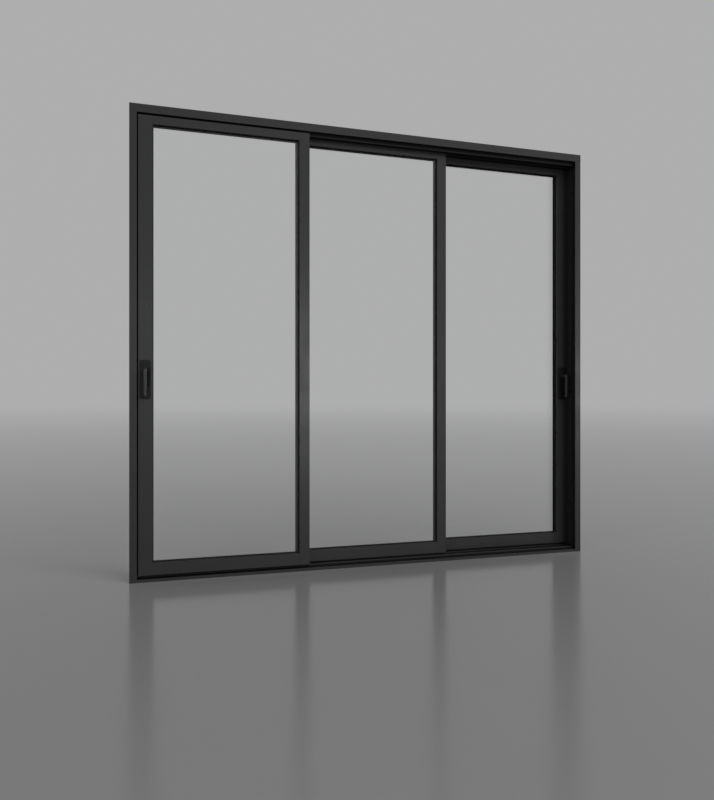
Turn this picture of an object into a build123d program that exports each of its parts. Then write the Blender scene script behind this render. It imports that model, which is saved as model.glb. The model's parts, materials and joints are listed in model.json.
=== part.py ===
from build123d import *
import os

# Three-panel sliding door on three tracks: a hollow aluminium frame, three glazed
# panels that run past each other, and a lever handle on each outer panel.
# Millimetres, +Z up, +X to the right as seen from the front, -Y towards the viewer.
# The origin is the centre of the sill's flat underside.

# Frame
frame_width = 2600.0
frame_height = 2400.0
frame_depth = 180.0
lip = 4.0
rib = 2.0
wall = 2.5
edge_round = 1.0
jamb_face = 36.0
jamb_back_face = 44.0
jamb_base = 6.0
jamb_rib = 14.0
head_face = 42.0
head_bay = 9.0
sill_lip = 15.0
sill_floor = 11.0

# Tracks
track_pitch = 58.0
rail_top = 30.0
rail_width = 5.0
rail_sunk = 4.0
carrier_width = 11.0
carrier_top = 19.0
fin_width = 3.0
fin_engages = 10.0

# Panels
panel_thick = 46.0
left_closed_gap = 41.0
right_closed_gap = 15.5
left_width = 881.5
middle_width = 889.0
right_width = 895.0
panel_bottom = 32.0
panel_top = frame_height - 50.0
lock_stile = 72.0
meeting_stile = 56.0
nose_reach = 16.0
nose_thick = 6.0
top_rail = 43.0
bottom_rail = 64.0
guide_groove = 14.0
guide_depth = 16.0
wheel_slot = 16.0
wheel_slot_depth = 5.0
wheel_cavity = 21.0

# Glass and rubber
pane = 5.0
unit_thick = 22.0
glazing_flange = 6.0
glazing_depth = 15.0
glass_bite = 12.0
spacer_bar = 10.0
spacer_hidden = 1.0
gasket_bite = 10.0
gasket_show = 2.5
seal_foot = 10.0
seal_foot_thick = 3.0
seal_lip = 2.0
seal_bulb = 2.0
seal_spread = 17.0
brush_width = 8.0
brush_base = 1.5
brush_pile = 3.0
brush_height = 6.0
brush_ends = 40.0

# Rollers
wheel_tread = 15.0
wheel_flange = 17.0
wheel_width = 10.0
wheel_play = 0.5
cheek = 2.5
cheek_below_axle = 7.0
carriage_length = 72.0
carriage_top = 3.0
roller_inset = 130.0

# Handles and locks
plate_width = 52.0
plate_height = 194.0
plate_thick = 9.0
plate_corner = 8.0
plate_bevel = 1.5
plate_centre = 1020.0
spindle_above_centre = 43.0
neck_radius = 10.0
neck_sunk = 5.0
lever_reach = 56.0
lever_drop = 122.0
grip_width = 20.0
grip_thick = 13.0
grip_tip_width = 16.0
grip_round = 4.0
grip_chamfer = 1.5
collar_proud = 3.0
collar_step = 1.5
lock_height = 240.0
strike_width = 20.0
strike_thick = 2.0
hook_slot_width = 8.0
hook_slot_height = 36.0
hook_slot_inset = 60.0
faceplate_width = 16.0
faceplate_thick = 1.5

# Fixing holes through the jambs, in the middle bay
fixing_radius = 4.0
fixing_from_end = 200.0
fixing_rows = 4

# Clearances: pieces on their seat, turning parts, seals and strikes short of what passes
seat = 0.3
turning = 0.3
seal_gap = 5.0
strike_gap = 5.4

# Places that follow from the sizes above
tracks = {"left": -track_pitch, "middle": 0.0, "right": track_pitch}
half_width = frame_width / 2
half_depth = frame_depth / 2
half_pitch = track_pitch / 2
half_thick = panel_thick / 2
half_groove = half_thick - glazing_flange
half_unit = unit_thick / 2
closed_edges = {"left": left_closed_gap - half_width, "right": half_width - right_closed_gap}
panel_edges = {
    "left": (closed_edges["left"], closed_edges["left"] + left_width),
    "middle": (-middle_width / 2, middle_width / 2),
    "right": (closed_edges["right"] - right_width, closed_edges["right"]),
}
fascia_bottom = frame_height - head_face
head_ceiling = fascia_bottom + head_bay
fin_tip = panel_top - fin_engages
sight_low = panel_bottom + bottom_rail
sight_high = panel_top - top_rail
wheel_axis = rail_top + seat + wheel_tread
wheel_cavity_top = sight_low - glazing_depth - wall
spindle_height = plate_centre + spindle_above_centre
lock_low = plate_centre - lock_height / 2
jamb_floor = half_width - jamb_base
inner_half_width = jamb_floor - seat


def rect(a0, a1, b0, b1, corner=0.0):
    """Rectangle between two values, in any order, on each axis of a section."""
    size = (abs(a1 - a0), abs(b1 - b0))
    shape = RectangleRounded(*size, corner) if corner else Rectangle(*size)
    return Pos((a0 + a1) / 2, (b0 + b1) / 2) * shape


def along_x(section, x0, x1):
    """Push a section drawn on Y and Z from x0 to x1."""
    return extrude(Plane.YZ.offset(x0) * section, amount=x1 - x0)


def along_z(section, z0, z1):
    """Push a section drawn on X and Y from z0 to z1."""
    return extrude(Plane.XY.offset(z0) * section, amount=z1 - z0)


def block(x0, x1, y0, y1, z0, z1):
    """Block between two corners, given in any order."""
    return along_z(rect(x0, x1, y0, y1), min(z0, z1), max(z0, z1))


def ring(opening, outside, inside, y0, y1):
    """Upright ring round an opening, from `inside` to `outside` beyond its edges."""
    x0, x1, z0, z1 = opening
    outer = block(x0 - outside, x1 + outside, y0, y1, z0 - outside, z1 + outside)
    inner = block(x0 - inside, x1 + inside, y0 - wall, y1 + wall, z0 - inside, z1 + inside)
    return outer - inner


def save(shape, node):
    """Write one piece to its STEP file."""
    shape.label = node
    export_step(shape, f"parts/{node}.step")


def bays():
    """Front and back of the open bay of each track, between the lips and ribs."""
    edges = [-half_depth + lip, -half_pitch - rib / 2, -half_pitch + rib / 2]
    edges += [half_pitch - rib / 2, half_pitch + rib / 2, half_depth - lip]
    return list(zip(edges[0::2], edges[1::2]))


def chambers():
    """Front and back of each hollow chamber, split by a web under each rib."""
    edges = [-half_depth + wall, -half_pitch - wall / 2, -half_pitch + wall / 2]
    edges += [half_pitch - wall / 2, half_pitch + wall / 2, half_depth - wall]
    return list(zip(edges[0::2], edges[1::2]))


def head():
    """Top of the frame: hollow box, fascia, a bay for each track with a guide fin."""
    section = rect(-half_depth, half_depth, fascia_bottom, frame_height, edge_round)
    for y0, y1 in bays():
        section -= rect(y0, y1, fascia_bottom - wall, head_ceiling)
    for y0, y1 in chambers():
        section -= rect(y0, y1, head_ceiling + wall, frame_height - wall)
    shape = along_x(section, -half_width, half_width)
    for track in tracks.values():
        fin = rect(track - fin_width / 2, track + fin_width / 2, fin_tip, head_ceiling + wall / 2)
        shape += along_x(fin, -inner_half_width, inner_half_width)
    return shape


def sill():
    """Bottom of the frame: low hollow box, two lips, a grooved carrier on each track."""
    section = rect(-half_depth, half_depth, 0, sill_lip, edge_round)
    section -= rect(-half_depth + lip, half_depth - lip, sill_floor, sill_lip + wall)
    for y0, y1 in chambers():
        section -= rect(y0, y1, wall, sill_floor - wall)
    shape = along_x(section, -half_width, half_width)
    groove = rail_width / 2 + seat
    for track in tracks.values():
        carrier = rect(
            track - carrier_width / 2, track + carrier_width / 2,
            sill_floor - wall / 2, carrier_top,
        )
        carrier -= rect(track - groove, track + groove, carrier_top - rail_sunk, carrier_top + wall)
        shape += along_x(carrier, -inner_half_width, inner_half_width)
    return shape


def running_rail(track):
    """Slim bar with a round top, let into the groove of its carrier."""
    crown = rail_top - rail_width / 2
    section = rect(
        track - rail_width / 2, track + rail_width / 2,
        carrier_top - rail_sunk + seat, crown,
    )
    section += Pos(track, crown) * Circle(rail_width / 2)
    return along_x(section, -inner_half_width, inner_half_width)


def jamb(side):
    """Upright of the frame, a deep channel coped round the lips and ribs of head and sill."""
    outer = side * half_width
    floor = side * jamb_floor
    face = side * (half_width - jamb_face)
    back_face = side * (half_width - jamb_back_face)
    inner_depth = half_depth - lip
    section = rect(outer, face, -half_depth, half_depth, edge_round)
    section += rect(outer, back_face, inner_depth, half_depth, edge_round)
    section -= rect(face - side * wall, floor - side * jamb_rib, -inner_depth, inner_depth)
    for y0, y1 in bays():
        section -= rect(face - side * wall, floor, y0, y1)
    shape = along_z(section, sill_floor + seat, head_ceiling - seat)
    coped = inner_depth - seat
    for y0, y1 in ((-half_depth, -coped), (coped, half_depth)):
        shape -= block(outer, back_face, y0, y1, fascia_bottom - seat, frame_height)
        shape -= block(outer, back_face, y0, y1, 0, sill_lip + seat)
    for y in (-half_pitch, half_pitch):
        rib_end = rib / 2 + seat
        shape -= block(outer, face, y - rib_end, y + rib_end, fascia_bottom - seat, frame_height)
    spacing = (frame_height - 2 * fixing_from_end) / (fixing_rows - 1)
    for row in range(fixing_rows):
        hole = Cylinder(fixing_radius, 2 * jamb_face, rotation=(0, 90, 0))
        shape -= Pos(outer, 0, fixing_from_end + row * spacing) * hole
    return shape


def jamb_seal(name, side, track):
    """Two bulb seals in the channel where this side's panel closes."""
    base = side * inner_half_width
    tip = closed_edges[name] + side * seal_gap
    bulb = tip + side * seal_bulb
    shape = Sketch()
    for y in (track - seal_spread, track + seal_spread):
        shape += rect(base, base - side * seal_foot_thick, y - seal_foot / 2, y + seal_foot / 2)
        shape += rect(base, bulb, y - seal_lip / 2, y + seal_lip / 2)
        shape += Pos(bulb, y) * Circle(seal_bulb)
    return along_z(shape, sill_lip + brush_ends, fascia_bottom - brush_ends)


def strike_plate(name, side, track):
    """Plate on the jamb, or a box where the panel stops short, with slots for the hooks."""
    base = side * inner_half_width
    top = closed_edges[name] + side * (seat + faceplate_thick + strike_gap)
    shape = block(
        base, top, track - strike_width / 2, track + strike_width / 2,
        lock_low, lock_low + lock_height,
    )
    if abs(base - top) > 2 * strike_thick:
        inside = strike_width / 2 - strike_thick
        shape -= block(
            base + side, top + side * strike_thick, track - inside, track + inside,
            lock_low + strike_thick, lock_low + lock_height - strike_thick,
        )
    for height in (lock_low + hook_slot_inset, lock_low + lock_height - hook_slot_inset):
        shape -= block(
            base + side, top - side, track - hook_slot_width / 2, track + hook_slot_width / 2,
            height - hook_slot_height / 2, height + hook_slot_height / 2,
        )
    return shape


def stile(edge, sight, track, nosed):
    """Upright bar of a panel, notched for the guide fin and the running rail."""
    inward = 1 if sight > edge else -1
    groove_floor = sight - inward * glazing_depth
    section = rect(edge, sight, track - half_thick, track + half_thick, edge_round)
    section -= rect(groove_floor, sight + inward, track - half_groove, track + half_groove)
    start = edge + inward * wall
    if nosed:
        # The outer part is a thin nose at the front, under the next panel's stile
        shoulder = edge + inward * nose_reach
        section -= rect(edge - inward, shoulder, track - half_thick + nose_thick, track + half_thick + 1)
        start = shoulder + inward * wall
    section -= rect(
        start, groove_floor - inward * wall,
        track - half_thick + wall, track + half_thick - wall,
    )
    shape = along_z(section, panel_bottom, panel_top)
    over = (edge - inward, sight + inward)
    guide = guide_groove / 2
    slot = wheel_slot / 2
    shape -= block(*over, track - guide, track + guide, panel_top - guide_depth, panel_top + wall)
    shape -= block(*over, track - slot, track + slot, panel_bottom - wall, panel_bottom + wheel_slot_depth)
    return shape


def top_bar(opening, track):
    """Top rail of a panel: guide groove above, glazing groove below."""
    section = rect(track - half_thick, track + half_thick, sight_high, panel_top, edge_round)
    section -= rect(track - half_groove, track + half_groove, sight_high - wall, sight_high + glazing_depth)
    guide = guide_groove / 2
    section -= rect(track - guide, track + guide, panel_top - guide_depth, panel_top + wall)
    for side in (-1, 1):
        section -= rect(
            track + side * (half_thick - wall), track + side * (guide + wall),
            sight_high + glazing_depth + wall, panel_top - wall,
        )
    return along_x(section, opening[0] + seat, opening[1] - seat)


def bottom_bar(opening, track):
    """Bottom rail of a panel: wheel cavity below, glazing groove above."""
    section = rect(track - half_thick, track + half_thick, panel_bottom, sight_low, edge_round)
    section -= rect(track - half_groove, track + half_groove, sight_low - glazing_depth, sight_low + wall)
    cavity = wheel_cavity / 2
    slot = wheel_slot / 2
    section -= rect(track - slot, track + slot, panel_bottom - wall, panel_bottom + wheel_slot_depth)
    section -= rect(track - cavity, track + cavity, panel_bottom + wall, wheel_cavity_top)
    for side in (-1, 1):
        section -= rect(
            track + side * (half_thick - wall), track + side * (cavity + wall),
            panel_bottom + wall, wheel_cavity_top,
        )
    return along_x(section, opening[0] + seat, opening[1] - seat)


def glass_panes(opening, track):
    """Front and back pane of the insulating unit."""
    x0, x1, z0, z1 = opening
    panes = []
    for outer, inner in ((-half_unit, pane - half_unit), (half_unit, half_unit - pane)):
        panes.append(block(
            x0 - glass_bite, x1 + glass_bite, track + outer, track + inner,
            z0 - glass_bite, z1 + glass_bite,
        ))
    return Compound(children=panes)


def glass_spacer(opening, track):
    """Spacer bar between the panes, just inside the frame's edge."""
    half = half_unit - pane - seat
    return ring(opening, spacer_hidden + spacer_bar, spacer_hidden, track - half, track + half)


def glazing_gasket(opening, track):
    """Rubber ring on each face of the glass, showing as a thin line."""
    near = half_unit + seat
    far = half_groove - seat
    rings = []
    for y0, y1 in ((track - far, track - near), (track + near, track + far)):
        rings.append(ring(opening, gasket_bite, -gasket_show, y0, y1))
    return Compound(children=rings)


def roller(x, track):
    """Grooved wheel on the rail, between two cheeks under a top plate."""
    half_wheel = wheel_width / 2
    half_rail = rail_width / 2
    outline = Polyline(
        (0, -half_wheel), (wheel_flange, -half_wheel), (wheel_tread, -half_rail),
        (wheel_tread, half_rail), (wheel_flange, half_wheel), (0, half_wheel), close=True,
    )
    shape = Pos(x, track, wheel_axis) * revolve(make_face(outline), Axis.Y)
    near = half_wheel + wheel_play
    far = near + cheek
    half_length = carriage_length / 2
    top = wheel_cavity_top - seat
    for side in (-1, 1):
        # The cheek's boss stands for the axle's end and carries the wheel
        shape += block(
            x - half_length, x + half_length, track + side * near, track + side * far,
            wheel_axis - cheek_below_axle, top,
        )
        shape += block(
            x - cheek, x + cheek, track + side * (half_wheel - wall), track + side * near,
            wheel_axis - cheek, wheel_axis + cheek,
        )
    shape += block(x - half_length, x + half_length, track - far, track + far, top - carriage_top, top)
    return shape


def rollers(opening, track):
    """The two roller carriages that carry a panel."""
    places = (opening[0] + roller_inset, opening[1] - roller_inset)
    return Compound(children=[roller(x, track) for x in places])


def brush_seal(x, track):
    """Pile strip on the back of a meeting stile, short of the next panel."""
    back = track + half_thick + seat
    section = rect(x - brush_width / 2, x + brush_width / 2, back, back + brush_base)
    section += rect(x - brush_pile / 2, x + brush_pile / 2, back, back + brush_height)
    return along_z(section, panel_bottom + brush_ends, panel_top - brush_ends)


def facing_front(x, y, z):
    """Plane that looks towards the viewer."""
    return Plane((x, y, z), x_dir=(1, 0, 0), z_dir=(0, -1, 0))


def handle_plate(x, front):
    """Bevelled plate on the lock stile, bored for the neck of the lever."""
    outline = facing_front(x, front - seat, plate_centre) * RectangleRounded(plate_width, plate_height, plate_corner)
    shape = extrude(outline, amount=plate_thick)
    shape = chamfer(shape.faces().sort_by(Axis.Y)[0].edges(), plate_bevel)
    bore = facing_front(x, front - seat - plate_thick + neck_sunk + seat, spindle_height)
    return shape - extrude(bore * Circle(neck_radius + turning), amount=plate_thick)


def lever(x, front):
    """Lever: collar in the plate, round neck, flat grip that tapers down from the spindle."""
    start = front - seat - plate_thick + neck_sunk
    grip_back = front - lever_reach + grip_thick
    collar = extrude(facing_front(x, start, spindle_height) * Circle(neck_radius), amount=neck_sunk + collar_proud)
    neck = extrude(facing_front(x, start, spindle_height) * Circle(neck_radius - collar_step), amount=start - grip_back)
    ends = Circle(grip_width / 2) + Pos(0, -lever_drop) * Circle(grip_tip_width / 2)
    grip = extrude(facing_front(x, grip_back, spindle_height) * make_hull(ends.edges()), amount=grip_thick)
    grip = fillet(grip.faces().sort_by(Axis.Y)[0].edges(), grip_round)
    grip = chamfer(grip.faces().sort_by(Axis.Y)[-1].edges(), grip_chamfer)
    return collar + neck + grip


def lock_faceplate(edge, side, track):
    """Lock faceplate on the edge of the lock stile."""
    return block(
        edge + side * seat, edge + side * (seat + faceplate_thick),
        track - faceplate_width / 2, track + faceplate_width / 2,
        lock_low, lock_low + lock_height,
    )


os.makedirs("parts", exist_ok=True)

save(head(), "frame_head")
save(sill(), "frame_sill")
for name, side in (("left", -1), ("right", 1)):
    save(jamb(side), f"frame_jamb_{name}")
    save(jamb_seal(name, side, tracks[name]), f"{name}_jamb_seal")
    save(strike_plate(name, side, tracks[name]), f"{name}_strike_plate")

stile_widths = {
    "left": (lock_stile, meeting_stile),
    "middle": (meeting_stile, meeting_stile),
    "right": (meeting_stile, lock_stile),
}
next_behind = {"left": "middle", "middle": "right"}
for name, track in tracks.items():
    x0, x1 = panel_edges[name]
    left_stile, right_stile = stile_widths[name]
    opening = (x0 + left_stile, x1 - right_stile, sight_low, sight_high)
    save(running_rail(track), f"{name}_running_rail")
    save(stile(x0, opening[0], track, nosed=name != "left"), f"{name}_stile_left")
    save(stile(x1, opening[1], track, nosed=False), f"{name}_stile_right")
    save(top_bar(opening, track), f"{name}_rail_top")
    save(bottom_bar(opening, track), f"{name}_rail_bottom")
    save(glass_panes(opening, track), f"{name}_glass")
    save(glass_spacer(opening, track), f"{name}_glass_spacer")
    save(glazing_gasket(opening, track), f"{name}_glazing_gasket")
    save(rollers(opening, track), f"{name}_rollers")
    if name in next_behind:
        hidden_edge = panel_edges[next_behind[name]][0]
        save(brush_seal((hidden_edge + x1) / 2, track), f"{name}_brush_seal")
    if name != "middle":
        side = -1 if name == "left" else 1
        edge = x0 if side < 0 else x1
        handle_x = edge - side * lock_stile / 2
        save(handle_plate(handle_x, track - half_thick), f"{name}_handle_plate")
        save(lever(handle_x, track - half_thick), f"{name}_lever")
        save(lock_faceplate(edge, side, track), f"{name}_lock_faceplate")
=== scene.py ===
# %% [markdown]
# # A three-track sliding door in Blender
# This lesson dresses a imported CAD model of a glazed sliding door: hollow aluminium bars with a
# black powder coat, three glazed panels that run past each other, and two lever handles. The
# CAD keeps every size, so Blender is left with what a maker sees up close: the coat, the glass,
# the rubber, the brushes, the screws, and the light they stand in.

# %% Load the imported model
import bmesh
import bpy
import json
import math
import random
from mathutils import Matrix, Vector

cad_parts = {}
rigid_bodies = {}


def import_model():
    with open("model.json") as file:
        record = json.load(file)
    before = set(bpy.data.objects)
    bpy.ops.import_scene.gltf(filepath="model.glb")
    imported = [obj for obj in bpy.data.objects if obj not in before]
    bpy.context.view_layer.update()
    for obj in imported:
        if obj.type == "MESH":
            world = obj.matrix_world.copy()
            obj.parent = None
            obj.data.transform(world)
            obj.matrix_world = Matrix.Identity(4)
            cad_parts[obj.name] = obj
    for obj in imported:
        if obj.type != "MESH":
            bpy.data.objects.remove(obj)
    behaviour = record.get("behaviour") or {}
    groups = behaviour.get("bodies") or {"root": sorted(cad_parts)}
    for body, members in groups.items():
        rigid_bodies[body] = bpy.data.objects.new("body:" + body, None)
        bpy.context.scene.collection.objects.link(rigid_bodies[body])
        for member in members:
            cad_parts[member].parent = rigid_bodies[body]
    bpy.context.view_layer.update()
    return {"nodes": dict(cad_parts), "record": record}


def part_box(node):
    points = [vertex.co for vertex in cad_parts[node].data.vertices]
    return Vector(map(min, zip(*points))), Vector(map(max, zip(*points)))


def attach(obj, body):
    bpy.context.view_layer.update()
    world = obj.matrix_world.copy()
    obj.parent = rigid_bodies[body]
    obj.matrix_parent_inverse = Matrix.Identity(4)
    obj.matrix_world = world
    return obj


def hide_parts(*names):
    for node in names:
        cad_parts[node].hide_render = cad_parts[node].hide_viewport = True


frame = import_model()
nodes = frame["nodes"]

# %% [markdown]
# ## The camera
# The uprights of the door stand parallel in the photograph, so the camera is level. Its height
# is that of the horizon, and the way the head and sill run together gives the turn: a 35 mm
# lens across the width, turned a little to the right from a point just inside the left jamb.
# Another way is to match by eye with a background image, but a level camera needs only these
# few numbers.

# %% Camera
lens = 35.0
sensor = 36.0
camera_turn = math.radians(16.73)
camera_back = 3.6395
camera_height = 0.9158
camera_from_left = 0.0916

sill_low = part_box("frame_sill")[0]
camera_data = bpy.data.cameras.new("camera")
camera_data.lens = lens
camera_data.sensor_width = sensor
camera_data.sensor_fit = "HORIZONTAL"
camera = bpy.data.objects.new("camera", camera_data)
camera.location = (sill_low[0] + camera_from_left, sill_low[1] - camera_back, camera_height)
camera.rotation_euler = (math.radians(90), 0, -camera_turn)
bpy.context.scene.collection.objects.link(camera)
bpy.context.scene.camera = camera
print("camera", [round(v, 3) for v in camera.location])

# %% [markdown]
# ## Small helpers
# Every material starts as an empty node tree with one Principled shader. Patterns read Object
# coordinates, which are metres here, so a grain of half a millimetre is a noise of scale 2000.

# %% A new material
def new_material(name):
    """Material with a Principled shader; returns it with its nodes and links."""
    material = bpy.data.materials.new(name)
    material.use_nodes = True
    tree = material.node_tree
    return material, tree.nodes, tree.links, tree.nodes["Principled BSDF"]

# %% Patterns
def noise(tree_nodes, tree_links, scale, detail=2.0, stretch=(1, 1, 1)):
    """Noise on Object coordinates, stretched along the axes if asked."""
    place = tree_nodes.new("ShaderNodeTexCoord")
    mapping = tree_nodes.new("ShaderNodeMapping")
    mapping.inputs["Scale"].default_value = stretch
    texture = tree_nodes.new("ShaderNodeTexNoise")
    texture.inputs["Scale"].default_value = scale
    texture.inputs["Detail"].default_value = detail
    tree_links.new(place.outputs["Object"], mapping.inputs["Vector"])
    tree_links.new(mapping.outputs["Vector"], texture.inputs["Vector"])
    return texture.outputs["Fac"]


def spread(tree_nodes, tree_links, source, low, high, from_low=0.3, from_high=0.7):
    """Map a noise value to a range."""
    reach = tree_nodes.new("ShaderNodeMapRange")
    reach.inputs["From Min"].default_value = from_low
    reach.inputs["From Max"].default_value = from_high
    reach.inputs["To Min"].default_value = low
    reach.inputs["To Max"].default_value = high
    tree_links.new(source, reach.inputs["Value"])
    return reach.outputs["Result"]

# %% Colour and bump
def mix_colour(tree_nodes, tree_links, factor, first, second):
    """Mix two colours by a value."""
    mix = tree_nodes.new("ShaderNodeMix")
    mix.data_type = "RGBA"
    mix.inputs["A"].default_value = (*first, 1)
    mix.inputs["B"].default_value = (*second, 1)
    tree_links.new(factor, mix.inputs["Factor"])
    return mix.outputs["Result"]


def bump(tree_nodes, tree_links, height, strength, distance):
    """Bump from a height value, in metres of depth."""
    node = tree_nodes.new("ShaderNodeBump")
    node.inputs["Strength"].default_value = strength
    node.inputs["Distance"].default_value = distance
    tree_links.new(height, node.inputs["Height"])
    return node.outputs["Normal"]

# %% [markdown]
# ## The powder coat
# The bars are sprayed with dry powder and baked. The coat is nearly black and satin, with a
# fine sand-like texture and a slow waviness, called orange peel. Two noises make it: a fine one
# for the grain and a broad one for the roughness, which also breaks up long reflections.

# %% Powder coat
soft_specular = 0.25
peel_scale = 9.0
grain_bump = 0.35
grain_depth = 0.0001


def powder_coat(name, dark, light, rough_low, rough_high, grain):
    """Textured black coat for bars and handles."""
    material, tree_nodes, tree_links, shader = new_material(name)
    shader.inputs["Specular IOR Level"].default_value = soft_specular
    fine = noise(tree_nodes, tree_links, grain, 3.0)
    broad = noise(tree_nodes, tree_links, peel_scale, 2.0)
    share = spread(tree_nodes, tree_links, fine, 0, 1)
    colour = mix_colour(tree_nodes, tree_links, share, dark, light)
    rough = spread(tree_nodes, tree_links, broad, rough_low, rough_high)
    grain_normal = bump(tree_nodes, tree_links, fine, grain_bump, grain_depth)
    tree_links.new(colour, shader.inputs["Base Color"])
    tree_links.new(rough, shader.inputs["Roughness"])
    tree_links.new(grain_normal, shader.inputs["Normal"])
    return material


coat = powder_coat(
    "powder_coat", (0.020, 0.020, 0.021), (0.030, 0.030, 0.031), 0.27, 0.34, 1800
)
# The handle plates take a darker copy of the coat, partly their own darker tone and partly
# painted shade. The grips take a lighter copy, which is painted light.
shaded_plate_coat = powder_coat(
    "shaded_plate_coat", (0.011, 0.011, 0.012), (0.015, 0.015, 0.016), 0.34, 0.42, 2600
)
lit_grip_coat = powder_coat(
    "lit_grip_coat", (0.025, 0.025, 0.026), (0.034, 0.034, 0.035), 0.30, 0.38, 2600
)
print("coats", coat.name, shaded_plate_coat.name, lit_grip_coat.name)

# %% [markdown]
# ## Clear glass
# Real panes are solids here, so a transmitting Principled shader bends and mirrors light as
# float glass does. Light that only passes through on its way to the floor would cast a dark
# shadow, so shadow rays go straight through a Transparent shader.

# %% Glass
def clear_glass():
    """Low-iron float glass that lets shadow rays through."""
    material, tree_nodes, tree_links, shader = new_material("clear_glass")
    shader.inputs["Base Color"].default_value = (0.995, 1.0, 0.998, 1)
    shader.inputs["Roughness"].default_value = 0.0
    shader.inputs["IOR"].default_value = 1.45
    shader.inputs["Transmission Weight"].default_value = 1.0
    out = tree_nodes["Material Output"]
    ray = tree_nodes.new("ShaderNodeLightPath")
    clear = tree_nodes.new("ShaderNodeBsdfTransparent")
    blend = tree_nodes.new("ShaderNodeMixShader")
    tree_links.new(ray.outputs["Is Shadow Ray"], blend.inputs["Fac"])
    tree_links.new(shader.outputs["BSDF"], blend.inputs[1])
    tree_links.new(clear.outputs["BSDF"], blend.inputs[2])
    tree_links.new(blend.outputs["Shader"], out.inputs["Surface"])
    return material


glass = clear_glass()
print("glass", glass.name)

# %% [markdown]
# ## Rubber, pile, rails and lock plates
# Gaskets are dull black rubber. Brush seals are woven pile, so their noise is stretched along
# the height into threads. Rails are drawn aluminium, polished along their length by the wheels,
# and the lock plates are brushed steel with long fine scratches.

# %% Rubber and pile
lighter_by = 1.6


def dull(name, dark, rough, grain, stretch, depth):
    """Dull dark material with a stretched grain."""
    material, tree_nodes, tree_links, shader = new_material(name)
    fine = noise(tree_nodes, tree_links, grain, 2.0, stretch)
    light = tuple(lighter_by * value for value in dark)
    share = spread(tree_nodes, tree_links, fine, 0, 1)
    colour = mix_colour(tree_nodes, tree_links, share, dark, light)
    tree_links.new(colour, shader.inputs["Base Color"])
    shader.inputs["Roughness"].default_value = rough
    shader.inputs["Specular IOR Level"].default_value = soft_specular
    tree_links.new(bump(tree_nodes, tree_links, fine, 0.5, depth), shader.inputs["Normal"])
    return material


rubber = dull("rubber", (0.007, 0.007, 0.007), 0.62, 900, (1, 1, 1), 0.0001)
pile = dull("brush_pile", (0.010, 0.010, 0.011), 0.9, 2200, (1, 1, 0.02), 0.0004)
spacer = dull("spacer", (0.014, 0.014, 0.015), 0.55, 700, (1, 1, 1), 0.0001)
# The darkest rubber is painted shade: it fills the slits, gaps and places beside the grips where
# the door lies in shade.
painted_shade_rubber = dull("painted_shade_rubber", (0.0045, 0.0045, 0.0045), 0.7, 1400, (1, 1, 1), 0.0001)
nylon = dull("nylon", (0.016, 0.016, 0.017), 0.45, 500, (1, 1, 1), 0.00005)
print("dull finishes", rubber.name, pile.name, spacer.name, painted_shade_rubber.name, nylon.name)

# %% Metals
rough_swing = 0.06
line_depth = 0.00005


def drawn_metal(name, dark, light, rough, stretch, scale):
    """Bare metal with fine lines along one direction."""
    material, tree_nodes, tree_links, shader = new_material(name)
    lines = noise(tree_nodes, tree_links, scale, 3.0, stretch)
    share = spread(tree_nodes, tree_links, lines, 0, 1)
    colour = mix_colour(tree_nodes, tree_links, share, dark, light)
    swing = spread(tree_nodes, tree_links, lines, rough - rough_swing, rough + rough_swing)
    line_normal = bump(tree_nodes, tree_links, lines, 0.2, line_depth)
    shader.inputs["Metallic"].default_value = 1.0
    tree_links.new(colour, shader.inputs["Base Color"])
    tree_links.new(swing, shader.inputs["Roughness"])
    tree_links.new(line_normal, shader.inputs["Normal"])
    return material


rail_metal = drawn_metal(
    "rail_metal", (0.07, 0.07, 0.074), (0.12, 0.12, 0.124), 0.42, (0.01, 1, 1), 1500
)
lock_steel = drawn_metal(
    "lock_steel", (0.30, 0.30, 0.31), (0.42, 0.42, 0.43), 0.32, (1, 1, 0.01), 1800
)
roller_metal = drawn_metal(
    "roller_metal", (0.16, 0.16, 0.17), (0.24, 0.24, 0.25), 0.4, (1, 1, 1), 1200
)
screw_black = drawn_metal(
    "screw_black", (0.05, 0.05, 0.05), (0.08, 0.08, 0.08), 0.36, (1, 1, 1), 1500
)
print("metals", rail_metal.name, lock_steel.name, roller_metal.name, screw_black.name)

# %% Give every CAD piece its finish
finishes = {
    "powder_coat": coat,
    "clear_glass": glass,
    "black_rubber": rubber,
    "brush_pile": pile,
    "rail_metal": rail_metal,
    "spacer_black": spacer,
    "roller_dark": roller_metal,
    "handle_black": shaded_plate_coat,
    "lock_steel": lock_steel,
}
for part in frame["record"]["subparts"]:
    piece = nodes[part["node"]]
    piece.data.materials.clear()
    piece.data.materials.append(finishes[part["material_slot"]])
# The grips take the lighter copy of the coat, which is painted light.
for lever in ("left_lever", "right_lever"):
    nodes[lever].data.materials[0] = lit_grip_coat

# %% [markdown]
# ## Helpers for new pieces
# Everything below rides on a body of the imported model, so it moves with its panel or lever.
# Four small tools do nearly all of it: a rounded block, a strip pushed along one axis, a round
# piece stacked from rings, and a mitred ring round a pane. Sizes are written in millimetres, as
# on a workshop drawing, and turned into metres in one place.

# %% Millimetres
mm = 0.001


def box_mm(node):
    """Lowest and highest corner of a CAD piece, in millimetres."""
    low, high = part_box(node)
    return Vector(low) / mm, Vector(high) / mm


panels = ("left", "middle", "right")
track_y = {}
for panel in panels:
    glass_low, glass_high = box_mm(f"{panel}_glass")
    track_y[panel] = (glass_low.y + glass_high.y) / 2
print("tracks at", {panel: round(y, 1) for panel, y in track_y.items()}, "mm")

# %% Finish a piece
weld_distance = 0.000001


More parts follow.
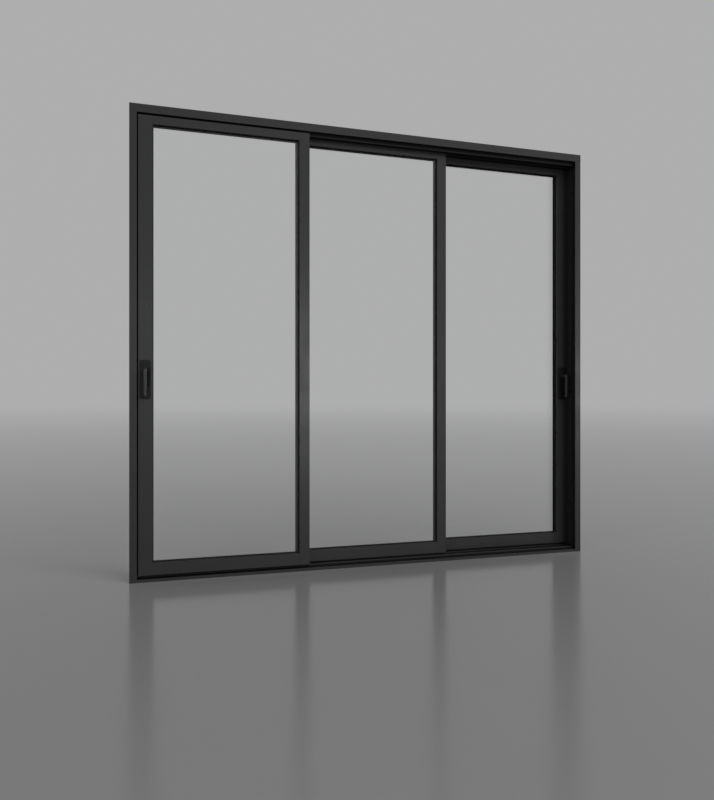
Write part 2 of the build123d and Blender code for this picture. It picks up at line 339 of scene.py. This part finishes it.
def finish_piece(name, mesh, material, body):
    """Turn a bmesh into a piece that rides on a body, and say how many edges are open."""
    bmesh.ops.remove_doubles(mesh, verts=mesh.verts, dist=weld_distance)
    bmesh.ops.recalc_face_normals(mesh, faces=mesh.faces)
    open_edges = sum(1 for edge in mesh.edges if len(edge.link_faces) != 2)
    data = bpy.data.meshes.new(name)
    mesh.to_mesh(data)
    mesh.free()
    data.materials.append(material)
    piece = bpy.data.objects.new(name, data)
    bpy.context.scene.collection.objects.link(piece)
    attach(piece, body)
    print(name, "faces", len(data.polygons), "open edges", open_edges)
    return piece

# %% Blocks and strips
def add_block(mesh, low, high, round_by=0.0):
    """Block between two corners, with its edges rounded if asked."""
    size = [abs(b - a) * mm for a, b in zip(low, high)]
    centre = [(a + b) / 2 * mm for a, b in zip(low, high)]
    place = Matrix.Translation(centre) @ Matrix.Diagonal((*size, 1))
    made = bmesh.ops.create_cube(mesh, size=1.0, matrix=place)
    if round_by:
        edges = {edge for vert in made["verts"] for edge in vert.link_edges}
        bmesh.ops.bevel(
            mesh, geom=list(edges), offset=round_by * mm, segments=2, profile=0.5,
            affect="EDGES", material=-1,
        )


def add_strip(mesh, section, axis, start, end):
    """Push a section along an axis; its points are (y, z), (x, z) or (x, y)."""
    number = "xyz".index(axis)
    points = []
    for a, b in section:
        point = [a, b]
        point.insert(number, start)
        points.append(Vector(point) * mm)
    push = Vector((0, 0, 0))
    push[number] = (end - start) * mm
    face = mesh.faces.new([mesh.verts.new(point) for point in points])
    pushed = bmesh.ops.extrude_face_region(mesh, geom=[face])
    moved = [item for item in pushed["geom"] if isinstance(item, bmesh.types.BMVert)]
    bmesh.ops.translate(mesh, verts=moved, vec=push)

# %% Round pieces
def add_round(mesh, place, facing, rings):
    """Round piece stacked from rings of (radius, height, corners), closed at both ends."""
    turn = Vector(facing).to_track_quat("Z", "Y").to_matrix().to_4x4()
    base = Matrix.Translation(Vector(place) * mm) @ turn
    loops = []
    for number, (radius, height, corners) in enumerate(rings):
        made = bmesh.ops.create_circle(
            mesh, cap_ends=number in (0, len(rings) - 1), segments=corners, radius=radius * mm,
            matrix=base @ Matrix.Translation((0, 0, height * mm)),
        )
        loops.append(list({edge for vert in made["verts"] for edge in vert.link_edges}))
    for first, second in zip(loops, loops[1:]):
        bmesh.ops.bridge_loops(mesh, edges=first + second)


def add_screw(mesh, place, facing, radius, height):
    """Pan head with a hexagon socket."""
    socket = 0.45 * radius
    add_round(mesh, place, facing, [
        (radius, 0, 24), (radius, 0.55 * height, 24), (0.85 * radius, height, 24),
        (socket, height, 6), (socket, 0.45 * height, 6),
    ])

# %% Rings round a pane
def add_ring(mesh, opening, profile):
    """Mitred ring round an opening; each point of its profile is (inward, y)."""
    x0, x1, z0, z1 = opening
    centre = Vector(((x0 + x1) / 2, 0, (z0 + z1) / 2)) * mm
    half = Vector(((x1 - x0) / 2, 1, (z1 - z0) / 2))
    inward, y = profile[0]
    corners = ((x0 + inward, z0 + inward), (x1 - inward, z0 + inward),
               (x1 - inward, z1 - inward), (x0 + inward, z1 - inward))
    verts = [mesh.verts.new(Vector((a, y, b)) * mm) for a, b in corners]
    edges = [mesh.edges.new((verts[i - 1], verts[i])) for i in range(4)]
    for next_inward, next_y in profile[1:] + profile[:1]:
        pushed = bmesh.ops.extrude_edge_only(mesh, edges=edges)["geom"]
        verts = [item for item in pushed if isinstance(item, bmesh.types.BMVert)]
        edges = [item for item in pushed if isinstance(item, bmesh.types.BMEdge)]
        shrink_x = (half.x - next_inward) / (half.x - inward)
        shrink_z = (half.z - next_inward) / (half.z - inward)
        about_centre = Matrix.Translation(-centre)
        bmesh.ops.scale(mesh, verts=verts, vec=(shrink_x, 1, shrink_z), space=about_centre)
        bmesh.ops.translate(mesh, verts=verts, vec=(0, (next_y - y) * mm, 0))
        inward, y = next_inward, next_y


def pane_opening(panel):
    """Clear opening of a panel, from its four bars."""
    return (
        box_mm(f"{panel}_stile_left")[1].x, box_mm(f"{panel}_stile_right")[0].x,
        box_mm(f"{panel}_rail_bottom")[1].z, box_mm(f"{panel}_rail_top")[0].z,
    )


print("left pane opening", [round(v, 1) for v in pane_opening("left")], "mm")

# %% [markdown]
# ## Glazing beads
# The rubber that holds a pane isn't a flat band: it leans on the glass with a soft lip, which
# is what draws the thin dark line round every pane. The lip is one mitred ring on each face.
# A swept curve would do as well, but a rectangle of four edges that is extruded and scaled a
# few times gives sharp mitres at once.

# %% Glazing beads
glass_face = 11.0
bead_profile = ((2.2, 5.3), (3.0, 4.6), (3.5, 2.6), (3.7, 0.9), (3.3, 0.15), (2.2, 0.15))

for panel in panels:
    bead = bmesh.new()
    for side in (-1, 1):
        add_ring(bead, pane_opening(panel), [
            (inward, track_y[panel] + side * (glass_face + out)) for inward, out in bead_profile
        ])
    finish_piece(f"{panel}_glazing_beads", bead, rubber, f"{panel}_panel")

# %% [markdown]
# ## Seal lips in the jambs
# Each outer panel closes against two rubber bulbs deep in the jamb. A thin lip on each bulb bends
# against the panel's edge and fills the slit beside the panel with near-black rubber, so the lip
# is partly a seal and partly painted shade in the slit. The lip is a bent strip pushed up the
# whole height.

# %% Jamb seal lips, also painted shade
seal_spread = 17.0
lip_sunk = 0.4
lip_section = (
    (-0.5, 0.6), (2.0, 0.4), (4.0, -0.9), (4.8, -2.8),
    (4.1, -3.0), (3.2, -1.7), (1.6, -0.6), (-0.5, -0.6),
)

for panel, side in (("left", -1), ("right", 1)):
    low, high = box_mm(f"{panel}_jamb_seal")
    tip = high.x if side < 0 else low.x
    lips = bmesh.new()
    for out in (-1, 1):
        seal_y = track_y[panel] + out * seal_spread
        section = [(tip - side * (u - lip_sunk), seal_y - out * v) for u, v in lip_section]
        add_strip(lips, section, "z", low.z, high.z)
    finish_piece(f"{panel}_jamb_shade_seal_lips", lips, painted_shade_rubber, "frame")

# %% [markdown]
# ## Brush seals
# Where two panels overlap, a woven pile strip on the back of one brushes the face of the next.
# Thousands of fibres would be too heavy as modelled hairs, and a noise on a plain block looks
# like plastic. The middle way is a short length of real tufts, each a three-sided spike of
# random lean, which an Array modifier repeats up the stile.

# %% One length of brush
tuft_step = 20.0
tuft_rows = 20
tuft_columns = 5
column_gap = 1.1
backing = 1.5
tuft_root = 1.2
pile_reach = 11.3
tufts = random.Random(7)


def add_tuft(strip, middle, back, height, column):
    """Three-sided spike of random place, length and lean."""
    x = middle + (column - tuft_columns // 2) * column_gap + tufts.uniform(-0.3, 0.3)
    z = height + tufts.uniform(0.1, 0.9)
    length = pile_reach - tuft_root - tufts.uniform(0, 1.2)
    lean = Matrix.Rotation(tufts.uniform(-0.07, 0.07), 4, "Z")
    flat = Matrix.Rotation(math.radians(-90), 4, "X")
    place = Matrix.Translation(Vector((x, back + tuft_root + length / 2, z)) * mm)
    bmesh.ops.create_cone(
        strip, cap_ends=True, segments=3, radius1=0.6 * mm, radius2=0.25 * mm,
        depth=length * mm, matrix=place @ lean @ flat,
    )

# %% Brush seals
def brush_seal(panel, count):
    """Backing and tufts for one short length, repeated up the stile."""
    low, high = box_mm(f"{panel}_brush_seal")
    strip = bmesh.new()
    add_block(strip, (low.x, low.y, low.z), (high.x, low.y + backing, low.z + tuft_step))
    for row in range(tuft_rows):
        for column in range(tuft_columns):
            add_tuft(strip, (low.x + high.x) / 2, low.y, low.z + row, column)
    piece = finish_piece(f"{panel}_brush_pile", strip, pile, f"{panel}_panel")
    repeat = piece.modifiers.new("repeat", "ARRAY")
    repeat.use_relative_offset = False
    repeat.use_constant_offset = True
    repeat.constant_offset_displace = (0, 0, tuft_step * mm)
    repeat.count = count
    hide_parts(f"{panel}_brush_seal")


for panel in ("left", "middle"):
    low, high = box_mm(f"{panel}_brush_seal")
    brush_seal(panel, int((high.z - low.z) // tuft_step))

# %% [markdown]
# ## Painted shade in the sill
# On both sides of each rail the bay of the sill is lined with near-black rubber, and a small
# wedge of it covers the foot of the rail. This rubber is painted shade: it makes the dark lines
# between the lit edge of the sill and the rails, where the undercut beside each rail lies in
# shade.

# %% Sill strips of painted shade
sill_floor = 11.0
carrier_half = 5.5
carrier_top = 19.0
bay_half = 27.0
outer_bay_half = 22.3
track_end = 1293.5
rail_shade_cover = ((2.6, 0.1), (6.4, 0.1), (6.4, 0.9), (4.8, 3.4), (2.9, 3.6))

for panel in panels:
    y = track_y[panel]
    strips = bmesh.new()
    for side in (-1, 1):
        near = y + side * (carrier_half + 0.15)
        far = y + side * (outer_bay_half if side * y > 0 else bay_half)
        section = [
            (near, carrier_top - 0.2), (near + side * 1.0, carrier_top - 0.2),
            (near + side * 1.6, sill_floor + 1.2), (far, sill_floor + 1.2),
            (far, sill_floor + 0.1), (near, sill_floor + 0.1),
        ]
        add_strip(strips, section, "x", -track_end, track_end)
        cover = [(y + side * out, carrier_top + up) for out, up in rail_shade_cover]
        add_strip(strips, cover, "x", -track_end, track_end)
    finish_piece(f"{panel}_track_shade_rubber", strips, painted_shade_rubber, "frame")

# %% [markdown]
# ## Seals under the panels
# A panel can't stand on the sill, it rides above it on its wheels. A near-black rubber blade
# under its front and its back edge closes that gap and hides the rail; it is partly a seal and
# partly painted shade, so the gap reads as one black line. The blade is a strip with a foot, and
# it ends short of the sill so that the panel still glides.

# %% Panel foot seals, also painted shade
blade_out = 18.0
past_nose = 18.0
short_of_edge = 1.5
blade_section = (
    (-2.6, -0.1), (2.6, -0.1), (2.2, -1.8), (0.9, -2.4),
    (0.6, -10.6), (-0.6, -10.8), (-0.9, -2.4), (-2.2, -1.8),
)


def panel_box(panel):
    """Lowest and highest corner of a panel, from its two stiles, in millimetres."""
    return box_mm(f"{panel}_stile_left")[0], box_mm(f"{panel}_stile_right")[1]


for panel in panels:
    blades = bmesh.new()
    low, high = panel_box(panel)
    for side in (-1, 1):
        blade_y = track_y[panel] + side * blade_out
        section = [(blade_y + side * out, low.z + up) for out, up in blade_section]
        add_strip(blades, section, "x", low.x + past_nose, high.x - short_of_edge)
    finish_piece(f"{panel}_foot_shade_seals", blades, painted_shade_rubber, f"{panel}_panel")

# %% [markdown]
# ## Gasket on the closing edges
# The edge of a panel that meets a jamb has a rubber gasket folded round its front corner. It
# takes the knock when the panel closes, and its near-black rubber is also painted shade, which
# widens the black line beside the left panel.

# %% Closing gaskets
gasket_section = (
    (-2.0, -0.25), (0.2, -0.25), (0.9, 0.4), (0.9, 2.3),
    (-0.1, 2.5), (-0.15, 0.9), (-0.8, 0.12), (-2.0, 0.12),
)
above_foot = 6.0
below_groove = 17.0

for panel, side, stile in (("left", -1, "left_stile_left"), ("right", 1, "right_stile_right")):
    low, high = box_mm(stile)
    edge = low.x if side < 0 else high.x
    gasket = bmesh.new()
    section = [(edge + side * out, low.y + back) for out, back in gasket_section]
    add_strip(gasket, section, "z", low.z + above_foot, high.z - below_groove)
    finish_piece(f"{panel}_closing_shade_gasket", gasket, painted_shade_rubber, f"{panel}_panel")

# %% [markdown]
# ## Screws, strikes and locks
# The frame is held by four screws through each jamb, hidden in the middle bay. The lock has a
# faceplate on the panel's edge with two hooks behind it, and a strike on the jamb. All of these
# are seen only when a panel is open, and they are what tells a door from a window at arm's
# length. Each screw is a stack of rings: 24 corners for the head, 6 for its socket.

# %% Frame screws
fixing_heights = (200.0, 866.667, 1533.333, 2200.0)
jamb_floor = 1293.9
outer_panels = (("left", -1), ("right", 1))

for name, side in outer_panels:
    screws = bmesh.new()
    for height in fixing_heights:
        add_screw(screws, (side * jamb_floor, 0, height), (-side, 0, 0), 6.5, 3.0)
    finish_piece(f"{name}_frame_screws", screws, screw_black, "frame")

# %% Lock hooks
plate_screw_inset = 10
hook_inset = 60
hook_half_width = 2.5
hook_half_height = 14
hook_proud = 1.6


def lock_hooks(panel, side):
    """Two screws and two hooks on the faceplate at the panel's edge."""
    low, high = box_mm(f"{panel}_lock_faceplate")
    outer = low.x if side < 0 else high.x
    y = track_y[panel]
    hooks = bmesh.new()
    for height in (low.z + plate_screw_inset, high.z - plate_screw_inset):
        add_screw(hooks, (outer, y, height), (side, 0, 0), 3.4, 0.9)
    for height in (low.z + hook_inset, high.z - hook_inset):
        add_block(
            hooks, (outer - side * 0.2, y - hook_half_width, height - hook_half_height),
            (outer + side * hook_proud, y + hook_half_width, height + hook_half_height), 0.6,
        )
    finish_piece(f"{panel}_lock_hooks", hooks, lock_steel, f"{panel}_panel")

# %% Strike screws
strike_screw_inset = 14


def strike_screws(panel, side):
    """Two screws on the strike plate of the jamb."""
    low, high = box_mm(f"{panel}_strike_plate")
    inner = high.x if side < 0 else low.x
    screws = bmesh.new()
    for height in (low.z + strike_screw_inset, high.z - strike_screw_inset):
        add_screw(screws, (inner, track_y[panel], height), (-side, 0, 0), 3.6, 0.9)
    finish_piece(f"{panel}_strike_screws", screws, lock_steel, "frame")


for panel, side in outer_panels:
    lock_hooks(panel, side)
    strike_screws(panel, side)

# %% [markdown]
# ## Handle trim
# On the plate sit two screws, the lock cylinder under the spindle, and a near-black pad on the
# inner side of the grip, which is a painted shadow of the grip on the plate. The cylinder is a
# round plug with a tail, and its keyway is a thin black sheet on the plug, painted shade for the
# slot. The pad and a dark strip on the grip's flank are painted shade: they give the handles
# their dark line beside the grip.

# %% Plate screws
trim_screw_inset = 11


def plate_screws(panel, centre, face, low_end, high_end):
    """One screw near each end of the handle plate."""
    screws = bmesh.new()
    for height in (low_end + trim_screw_inset, high_end - trim_screw_inset):
        add_screw(screws, (centre, face, height), (0, -1, 0), 4.2, 1.2)
    finish_piece(f"{panel}_plate_screws", screws, screw_black, f"{panel}_panel")

# %% Lock cylinder
plug_rings = ((8.5, 0, 32), (8.5, 1.8, 32), (8.0, 2.3, 32), (6.6, 2.3, 32), (6.4, 2.9, 32))


def lock_cylinder(panel, centre, face, key_height):
    """Round plug with a tail below it, and a keyway that is a thin black sheet, painted shade for
    the slot.
    """
    body = f"{panel}_panel"
    cylinder = bmesh.new()
    add_round(cylinder, (centre, face + 0.5, key_height), (0, -1, 0), plug_rings)
    add_block(cylinder, (centre - 5, face + 0.5, key_height - 24.5),
              (centre + 5, face - 1.6, key_height - 6), 0.5)
    finish_piece(f"{panel}_lock_cylinder", cylinder, screw_black, body)
    # The keyway is a black sheet on the plug's face: painted shade for the slot.
    keyway_shade = bmesh.new()
    add_block(keyway_shade, (centre - 0.9, face - 2.2, key_height - 4.5),
              (centre + 0.9, face - 2.6, key_height + 4.0), 0.1)
    finish_piece(f"{panel}_keyway", keyway_shade, rubber, body)

# %% Painted shadow pad
shadow_pad_offset = 14.6
shadow_pad_half_width = 7.2
shadow_pad_below, shadow_pad_above = 80, 12


def painted_shadow_pad(panel, inward, centre, face, spindle):
    """Near-black pad on the plate, on the inner side of the grip: a painted shadow of the grip.
    """
    middle = centre + inward * shadow_pad_offset
    pad = bmesh.new()
    add_block(pad, (middle - shadow_pad_half_width, face + 0.2, spindle - shadow_pad_below),
              (middle + shadow_pad_half_width, face - 1.2, spindle + shadow_pad_above), 0.5)
    finish_piece(f"{panel}_painted_shadow_pad", pad, painted_shade_rubber, f"{panel}_panel")

# %% Painted shade on the grip
shade_strip_outline = ((7.3, 2.0), (10.3, 0.0), (8.5, -119.0), (5.6, -117.0))
shade_strip_depth = 11.0


def grip_shade_strip(panel, inward, centre, spindle):
    """Near-black strip let into the flank of the grip, painted shade, which turns with the lever.
    """
    grip_front = box_mm(f"{panel}_lever")[0].y
    outline = [(centre + inward * u, spindle + v) for u, v in shade_strip_outline]
    insert = bmesh.new()
    add_strip(insert, outline, "y", grip_front - 0.3, grip_front + shade_strip_depth)
    bmesh.ops.bevel(
        insert, geom=list(insert.edges), offset=0.8 * mm, segments=2, profile=0.5,
        affect="EDGES", material=-1,
    )
    finish_piece(f"{panel}_grip_shade_strip", insert, painted_shade_rubber, f"{panel}_lever")

# %% Handle trim
spindle_above_centre = 43.0
cylinder_below_spindle = 92.0

for panel, side in outer_panels:
    low, high = box_mm(f"{panel}_handle_plate")
    centre = (low.x + high.x) / 2
    spindle = (low.z + high.z) / 2 + spindle_above_centre
    plate_screws(panel, centre, low.y, low.z, high.z)
    lock_cylinder(panel, centre, low.y, spindle - cylinder_below_spindle)
    # A painted shadow beside each grip and painted shade on its flank.
    painted_shadow_pad(panel, -side, centre, low.y, spindle)
    grip_shade_strip(panel, -side, centre, spindle)

# %% [markdown]
# ## Guides, buffers and drains
# At each upper corner of a panel a nylon block rides on the guide fin. The fin wears a thin
# near-black sleeve, which is painted shade: it darkens the fin where it lies in the shade under
# the head. Rubber buffers stop the panels short of the jambs, plugs close the sawn ends of head
# and sill, and on the weather side small hoods cover the drain slots. They are plain moulded
# parts, so rounded blocks and stacked rings are enough.

# %% Guides
fin_half = 1.5
fin_play = 0.5
groove_half = 7.0
guide_length = 40
guide_height = 15.7

for panel in panels:
    guides = bmesh.new()
    low, high = panel_box(panel)
    y = track_y[panel]
    for start in (low.x + 1, high.x - guide_length - 1):
        for out in (-1, 1):
            add_block(guides, (start, y + out * (fin_half + fin_play), high.z - guide_height),
                      (start + guide_length, y + out * (groove_half - 0.2), high.z - 0.5), 0.6)
    finish_piece(f"{panel}_guide_blocks", guides, nylon, f"{panel}_panel")

# %% Fin sleeves, painted shade
fin_tip = 2340.0
head_ceiling = 2367.0
sleeve_wall = 0.3

sleeves = bmesh.new()
for y in track_y.values():
    add_block(sleeves, (-track_end, y - fin_half - sleeve_wall, fin_tip - 0.4),
              (track_end, y + fin_half + sleeve_wall, head_ceiling - 0.2), 0.25)
finish_piece("fin_shade_sleeves", sleeves, spacer, "frame")

# %% Buffers
buffer_heights = (140.0, 2250.0)
buffer_places = ((-1, "middle", 33.0), (1, "left", 7.5), (-1, "right", 33.0))

buffers = bmesh.new()
for height in buffer_heights:
    for side, track, reach in buffer_places:
        add_round(buffers, (side * jamb_floor, track_y[track], height), (-side, 0, 0), [
            (8.0, 0, 20), (8.0, 0.35 * reach, 20), (6.5, 0.4 * reach, 20),
            (6.5, 0.85 * reach, 20), (4.5, reach, 20),
        ])
finish_piece("stop_buffers", buffers, rubber, "frame")

# %% End plugs
chamber_edges = ((-87.5, -30.25), (-27.75, 27.75), (30.25, 87.5))
chamber_heights = ((2369.5, 2397.5), (2.5, 8.5))
plug_inner, plug_outer = 1286, 1299.6
plug_play = 0.2

plugs = bmesh.new()
for z0, z1 in chamber_heights:
    for y0, y1 in chamber_edges:
        for side in (-1, 1):
            add_block(plugs, (side * plug_inner, y0 + plug_play, z0 + plug_play),
                      (side * plug_outer, y1 - plug_play, z1 - plug_play), 0.5)
finish_piece("end_plugs", plugs, nylon, "frame")

# %% Drain hoods
hood_places = (-1000.0, -350.0, 350.0, 1000.0)
hood_half = 20
hood_proud = 2.4
sill_back = box_mm("frame_sill")[1].y

hoods = bmesh.new()
for x in hood_places:
    add_block(hoods, (x - hood_half, sill_back - 1.0, 4.0),
              (x + hood_half, sill_back + hood_proud, 11.5), 0.8)
finish_piece("drain_hoods", hoods, nylon, "frame")

# %% [markdown]
# ## Floor and backdrop
# The studio is one even grey, and its floor is a darker polished grey that fades into it with
# distance. A curved paper sweep is the usual way, but it would bend the mirror image of the
# bars. So the floor is one flat sheet, and its material turns bit by bit into the backdrop's
# own grey, the further it is from the door.

# %% Floor
backdrop_grey = 0.423
floor_grey = 0.185
floor_rough = 0.16
floor_ior = 1.4
floor_reach = 900.0

floor_mesh = bmesh.new()
bmesh.ops.create_grid(floor_mesh, x_segments=1, y_segments=1, size=floor_reach)
floor_data = bpy.data.meshes.new("studio_floor")
floor_mesh.to_mesh(floor_data)
floor_mesh.free()
floor = bpy.data.objects.new("studio_floor", floor_data)
bpy.context.scene.collection.objects.link(floor)
camera_data.clip_end = 2 * floor_reach
print("floor", 2 * floor_reach, "m wide")

# %% Floor material
fade_distance = 28.0

floor_material, floor_nodes, floor_links, floor_shader = new_material("studio_floor")
floor_shader.inputs["Base Color"].default_value = (floor_grey, floor_grey, floor_grey, 1)
floor_shader.inputs["Roughness"].default_value = floor_rough
floor_shader.inputs["IOR"].default_value = floor_ior

floor_place = floor_nodes.new("ShaderNodeTexCoord")
from_door = floor_nodes.new("ShaderNodeVectorMath")
from_door.operation = "LENGTH"
floor_links.new(floor_place.outputs["Object"], from_door.inputs[0])
decay = floor_nodes.new("ShaderNodeMath")
decay.operation = "MULTIPLY"
decay.inputs[1].default_value = -1 / fade_distance
floor_links.new(from_door.outputs["Value"], decay.inputs[0])
near_share = floor_nodes.new("ShaderNodeMath")
near_share.operation = "EXPONENT"
floor_links.new(decay.outputs["Value"], near_share.inputs[0])
haze = floor_nodes.new("ShaderNodeEmission")
haze.inputs["Color"].default_value = (backdrop_grey, backdrop_grey, backdrop_grey, 1)
fade = floor_nodes.new("ShaderNodeMixShader")
floor_links.new(near_share.outputs["Value"], fade.inputs["Fac"])
floor_links.new(haze.outputs["Emission"], fade.inputs[1])
floor_links.new(floor_shader.outputs["BSDF"], fade.inputs[2])
floor_links.new(fade.outputs["Shader"], floor_nodes["Material Output"].inputs["Surface"])
floor_data.materials.append(floor_material)
print("floor fades over", fade_distance, "m")

# %% [markdown]
# ## World and lamps
# What the camera, a mirror or the glass sees is the backdrop grey. The light that falls on the
# door from all sides is a little weaker, so the recesses between the tracks stay dark. A large
# soft lamp from the front right does the rest: it is wide, so the head's shadow on the panels
# behind it fades over a few centimetres.

# %% World
surround_light = 0.25

world = bpy.data.worlds.new("studio")
bpy.context.scene.world = world
world.use_nodes = True
sky_nodes = world.node_tree.nodes
sky_links = world.node_tree.links
sky_seen = sky_nodes["Background"]
sky_seen.inputs["Color"].default_value = (backdrop_grey, backdrop_grey, backdrop_grey, 1)
sky_light = sky_nodes.new("ShaderNodeBackground")
sky_light.inputs["Color"].default_value = (surround_light, surround_light, surround_light, 1)
sky_ray = sky_nodes.new("ShaderNodeLightPath")
seen_glossy = sky_nodes.new("ShaderNodeMath")
seen_glossy.operation = "MAXIMUM"
sky_links.new(sky_ray.outputs["Is Camera Ray"], seen_glossy.inputs[0])
sky_links.new(sky_ray.outputs["Is Glossy Ray"], seen_glossy.inputs[1])
seen = sky_nodes.new("ShaderNodeMath")
seen.operation = "MAXIMUM"
sky_links.new(seen_glossy.outputs["Value"], seen.inputs[0])
sky_links.new(sky_ray.outputs["Is Transmission Ray"], seen.inputs[1])
sky_mix = sky_nodes.new("ShaderNodeMixShader")
sky_links.new(seen.outputs["Value"], sky_mix.inputs["Fac"])
sky_links.new(sky_light.outputs["Background"], sky_mix.inputs[1])
sky_links.new(sky_seen.outputs["Background"], sky_mix.inputs[2])
sky_links.new(sky_mix.outputs["Shader"], sky_nodes["World Output"].inputs["Surface"])
print("backdrop", backdrop_grey, "light from all sides", surround_light)

# %% Lamps
door_middle = Vector((0, 0, 1.2))


def soft_lamp(name, azimuth, elevation, distance, width, height, power):
    """Area lamp that looks at the middle of the door and isn't mirrored in it."""
    data = bpy.data.lights.new(name, "AREA")
    data.shape = "RECTANGLE"
    data.size = width
    data.size_y = height
    data.energy = power
    lamp = bpy.data.objects.new(name, data)
    turn = math.radians(azimuth)
    rise = math.radians(elevation)
    level = math.cos(rise)
    away = Vector((math.sin(turn) * level, -math.cos(turn) * level, math.sin(rise)))
    lamp.location = door_middle + distance * away
    lamp.rotation_euler = away.to_track_quat("Z", "Y").to_euler()
    lamp.visible_glossy = False
    lamp.visible_transmission = False
    bpy.context.scene.collection.objects.link(lamp)
    return lamp


key = soft_lamp(
    "key", azimuth=26, elevation=34, distance=9.0, width=6.5, height=6.5, power=640
)
fill = soft_lamp(
    "fill", azimuth=-55, elevation=12, distance=8.0, width=3.0, height=3.0, power=110
)
print("lamps", key.name, fill.name)

# %% [markdown]
# A satin coat shows a lamp as a soft glow, not as a picture. In the photograph every upright
# has such a glow at mid height, strongest on the bar beside the first pane and on the right
# jamb. A row of small lamps makes it, each where the mirror image of its bar would show it.
# Light linking keeps them off the glass, where each would be a white square.

# %% Glow on the coat
glow_distance = 9.0
glow_width = 1.3
glow_lamps = ((-8.5, 5.5, 1.2, 12), (9.7, 0.8, 1.9, 98), (40, 0.7, 1.8, 50))

coated = bpy.data.collections.new("coated")
for part in frame["record"]["subparts"]:
    if part["material_slot"] == "powder_coat" or "lever" in part["node"]:
        coated.objects.link(nodes[part["node"]])
for number, (azimuth, elevation, height, power) in enumerate(glow_lamps):
    glow = soft_lamp(
        f"glow_{number}", azimuth, elevation, glow_distance, glow_width, height, power
    )
    glow.visible_glossy = True
    glow.light_linking.receiver_collection = coated

# %% [markdown]
# Seen from behind, the door would stand in its own shade. A soft lamp there lights the door
# alone, so the floor that shows through the glass keeps its tone.

# %% Lamp behind the door
door_pieces = bpy.data.collections.new("door_pieces")
for item in bpy.context.scene.objects:
    if item.type == "MESH" and item is not floor:
        door_pieces.objects.link(item)
back = soft_lamp(
    "back", azimuth=158, elevation=28, distance=8.0, width=5.0, height=5.0, power=700
)
back.light_linking.receiver_collection = door_pieces

# %% View and finish
bpy.context.scene.view_settings.view_transform = "Standard"
